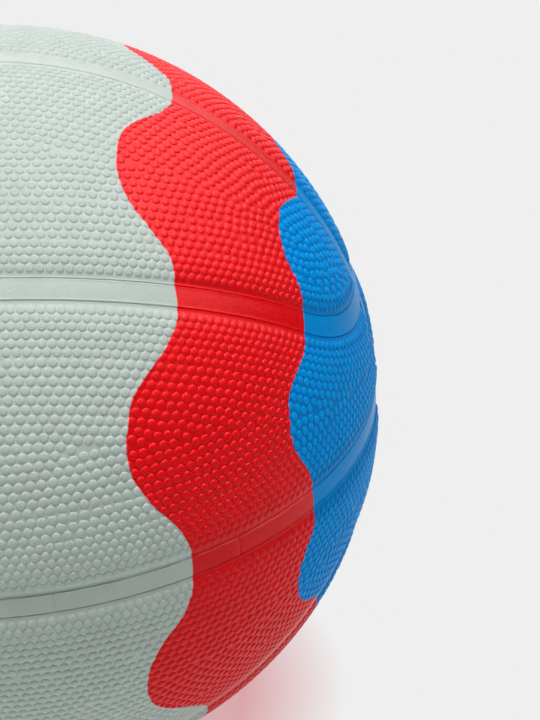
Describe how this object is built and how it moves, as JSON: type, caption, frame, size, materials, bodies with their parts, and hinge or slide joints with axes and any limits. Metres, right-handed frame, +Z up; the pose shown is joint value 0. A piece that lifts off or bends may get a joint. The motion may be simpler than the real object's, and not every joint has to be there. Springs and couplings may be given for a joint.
{
  "type": "basketball",
  "caption": "Moulded rubber basketball with pebbled cover panels, flat channel strips between them, a wound carcass, a bladder and a self-sealing valve.",
  "frame": {"origin": "centre of the ball", "axes": "+X to the pole where the equator seam and the meridian seam cross, on the right in the picture; -Y to the front, which the picture shows; +Z up, through the top of the meridian seam"},
  "size_m": [0.238, 0.2384, 0.2384],
  "materials": {
    "cover_rubber": "satin painted rubber, moulded pebbles",
    "channel_rubber": "satin painted rubber, fine grain",
    "carcass_rubber": "matte moulded rubber",
    "wound_nylon": "wound nylon thread",
    "butyl_rubber": "dull butyl sheet",
    "valve_rubber": "soft moulded rubber"
  },
  "bodies": {
    "root": {"top_front_panel": "cover_rubber", "top_back_panel": "cover_rubber", "bottom_front_panel": "cover_rubber", "bottom_back_panel": "cover_rubber", "upper_front_panel": "cover_rubber", "upper_back_panel": "cover_rubber", "lower_front_panel": "cover_rubber", "lower_back_panel": "cover_rubber", "equator_strip": "channel_rubber", "equator_closing_strip": "channel_rubber", "top_meridian_strip": "channel_rubber", "bottom_meridian_strip": "channel_rubber", "top_front_arc_strip": "channel_rubber", "top_back_arc_strip": "channel_rubber", "bottom_front_arc_strip": "channel_rubber", "bottom_back_arc_strip": "channel_rubber", "carcass": "carcass_rubber", "winding_layer": "wound_nylon", "bladder": "butyl_rubber", "valve_boot": "valve_rubber", "valve_core": "valve_rubber"}
  },
  "joints": []
}
